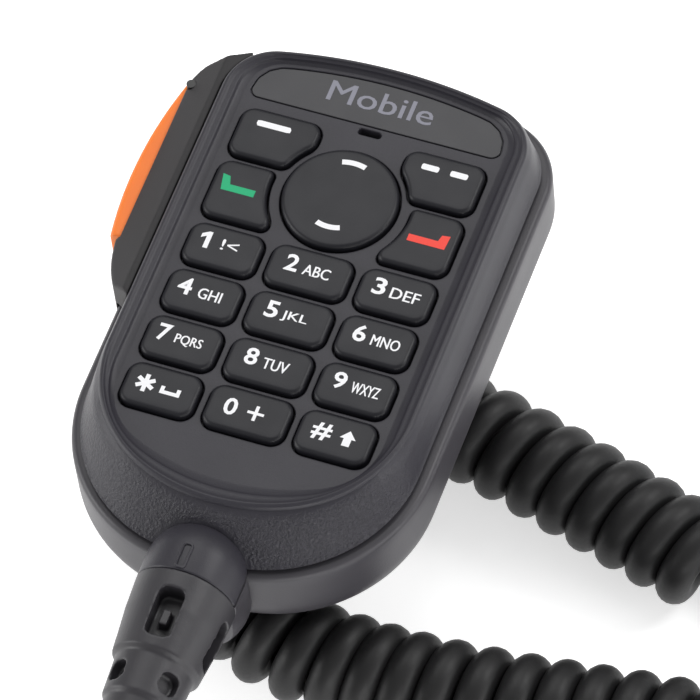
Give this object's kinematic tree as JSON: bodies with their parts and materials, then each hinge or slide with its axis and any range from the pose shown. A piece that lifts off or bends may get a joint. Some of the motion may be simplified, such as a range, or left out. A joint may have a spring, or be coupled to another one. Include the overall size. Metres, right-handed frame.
{
  "type": "hand microphone",
  "caption": "Palm-sized hand microphone with a keypad, a rocker key, a side talk bar, a hang-up button and a curly cord with a modular plug.",
  "frame": {"origin": "centre of the hang-up button's head, on the back of the case", "axes": "+Z out of the keypad face, +Y towards the top end of the case, +X to the right when the keypad is read"},
  "size_m": [0.1679, 0.1928, 0.0442],
  "materials": {
    "cover_plastic": "fine moulded grain",
    "shell_plastic": "fine moulded grain",
    "seal_rubber": "matt",
    "badge_plastic": "smooth satin",
    "key_silicone": "satin, painted",
    "mat_silicone": "matt",
    "board": "solder mask",
    "spring_steel": "bright",
    "screw_steel": "zinc plated",
    "lamp": "clear",
    "capsule_metal": "satin",
    "mesh_metal": "black woven",
    "header_plastic": "moulded",
    "chip_plastic": "moulded",
    "surround_plastic": "fine moulded grain",
    "talk_orange": "satin",
    "insert_brass": "knurled",
    "hang_up_plastic": "satin",
    "relief_rubber": "satin moulded",
    "cord_jacket": "satin extruded",
    "plug_plastic": "moulded, slightly milky",
    "contact_gold": "gold plated"
  },
  "bodies": {
    "microphone": {"front_cover": "cover_plastic", "rear_shell": "shell_plastic", "case_seal": "seal_rubber", "badge_plate": "badge_plastic", "keypad_mat": "mat_silicone", "circuit_board": "board", "dome_contacts": "spring_steel", "board_screws": "screw_steel", "key_backlights": "lamp", "mic_capsule": "capsule_metal", "mic_cup": "seal_rubber", "sound_mesh": "mesh_metal", "wire_header": "header_plastic", "board_chips": "chip_plastic", "talk_surround": "surround_plastic", "talk_pin": "screw_steel", "talk_switch": "chip_plastic", "case_screws": "screw_steel", "brass_inserts": "insert_brass", "hang_up_button": "hang_up_plastic", "hang_up_screw": "screw_steel", "hang_up_insert": "insert_brass", "strain_relief": "relief_rubber", "cord_clamp": "header_plastic", "cord_inner_end": "cord_jacket", "cord_leader": "cord_jacket", "cord_coil": "cord_jacket", "cord_tail": "cord_jacket", "plug_body": "plug_plastic", "plug_contacts": "contact_gold", "plug_boot": "relief_rubber"},
    "key_1": {"key_1": "key_silicone"},
    "key_2": {"key_2": "key_silicone"},
    "key_3": {"key_3": "key_silicone"},
    "key_4": {"key_4": "key_silicone"},
    "key_5": {"key_5": "key_silicone"},
    "key_6": {"key_6": "key_silicone"},
    "key_7": {"key_7": "key_silicone"},
    "key_8": {"key_8": "key_silicone"},
    "key_9": {"key_9": "key_silicone"},
    "key_star": {"key_star": "key_silicone"},
    "key_0": {"key_0": "key_silicone"},
    "key_hash": {"key_hash": "key_silicone"},
    "soft_key_left": {"soft_key_left": "key_silicone"},
    "soft_key_right": {"soft_key_right": "key_silicone"},
    "call_key": {"call_key": "key_silicone"},
    "end_key": {"end_key": "key_silicone"},
    "nav_key": {"nav_key": "key_silicone"},
    "talk_button": {"talk_button": "talk_orange"},
    "plug_latch": {"plug_latch": "plug_plastic"}
  },
  "joints": [
    {"name": "key_1_press", "type": "slide", "parent": "microphone", "child": "key_1", "axis": [0, 0, -1], "range_m": [0, 0.0007], "stiffness_N_per_m": 800},
    {"name": "key_2_press", "type": "slide", "parent": "microphone", "child": "key_2", "axis": [0, 0, -1], "range_m": [0, 0.0007], "stiffness_N_per_m": 800},
    {"name": "key_3_press", "type": "slide", "parent": "microphone", "child": "key_3", "axis": [0, 0, -1], "range_m": [0, 0.0007], "stiffness_N_per_m": 800},
    {"name": "key_4_press", "type": "slide", "parent": "microphone", "child": "key_4", "axis": [0, 0, -1], "range_m": [0, 0.0007], "stiffness_N_per_m": 800},
    {"name": "key_5_press", "type": "slide", "parent": "microphone", "child": "key_5", "axis": [0, 0, -1], "range_m": [0, 0.0007], "stiffness_N_per_m": 800},
    {"name": "key_6_press", "type": "slide", "parent": "microphone", "child": "key_6", "axis": [0, 0, -1], "range_m": [0, 0.0007], "stiffness_N_per_m": 800},
    {"name": "key_7_press", "type": "slide", "parent": "microphone", "child": "key_7", "axis": [0, 0, -1], "range_m": [0, 0.0007], "stiffness_N_per_m": 800},
    {"name": "key_8_press", "type": "slide", "parent": "microphone", "child": "key_8", "axis": [0, 0, -1], "range_m": [0, 0.0007], "stiffness_N_per_m": 800},
    {"name": "key_9_press", "type": "slide", "parent": "microphone", "child": "key_9", "axis": [0, 0, -1], "range_m": [0, 0.0007], "stiffness_N_per_m": 800},
    {"name": "key_star_press", "type": "slide", "parent": "microphone", "child": "key_star", "axis": [0, 0, -1], "range_m": [0, 0.0007], "stiffness_N_per_m": 800},
    {"name": "key_0_press", "type": "slide", "parent": "microphone", "child": "key_0", "axis": [0, 0, -1], "range_m": [0, 0.0007], "stiffness_N_per_m": 800},
    {"name": "key_hash_press", "type": "slide", "parent": "microphone", "child": "key_hash", "axis": [0, 0, -1], "range_m": [0, 0.0007], "stiffness_N_per_m": 800},
    {"name": "soft_key_left_press", "type": "slide", "parent": "microphone", "child": "soft_key_left", "axis": [0, 0, -1], "range_m": [0, 0.0007], "stiffness_N_per_m": 800},
    {"name": "soft_key_right_press", "type": "slide", "parent": "microphone", "child": "soft_key_right", "axis": [0, 0, -1], "range_m": [0, 0.0007], "stiffness_N_per_m": 800},
    {"name": "call_key_press", "type": "slide", "parent": "microphone", "child": "call_key", "axis": [0, 0, -1], "range_m": [0, 0.0007], "stiffness_N_per_m": 800},
    {"name": "end_key_press", "type": "slide", "parent": "microphone", "child": "end_key", "axis": [0, 0, -1], "range_m": [0, 0.0007], "stiffness_N_per_m": 800},
    {"name": "nav_rock", "type": "hinge", "parent": "microphone", "child": "nav_key", "pos_m": [0, -0.0051, 0.029], "axis": [1, 0, 0], "range_deg": [-4, 4], "stiffness_Nm_per_rad": 0.05},
    {"name": "talk_press", "type": "hinge", "parent": "microphone", "child": "talk_button", "pos_m": [-0.0327, 0.0112, 0.0225], "axis": [0, 0, 1], "range_deg": [0, 2.4], "stiffness_Nm_per_rad": 0.6},
    {"name": "latch_squeeze", "type": "hinge", "parent": "microphone", "child": "plug_latch", "pos_m": [0.073, 0.004, -0.00565], "axis": [0, 1, 0], "range_deg": [0, 9], "stiffness_Nm_per_rad": 0.05}
  ]
}
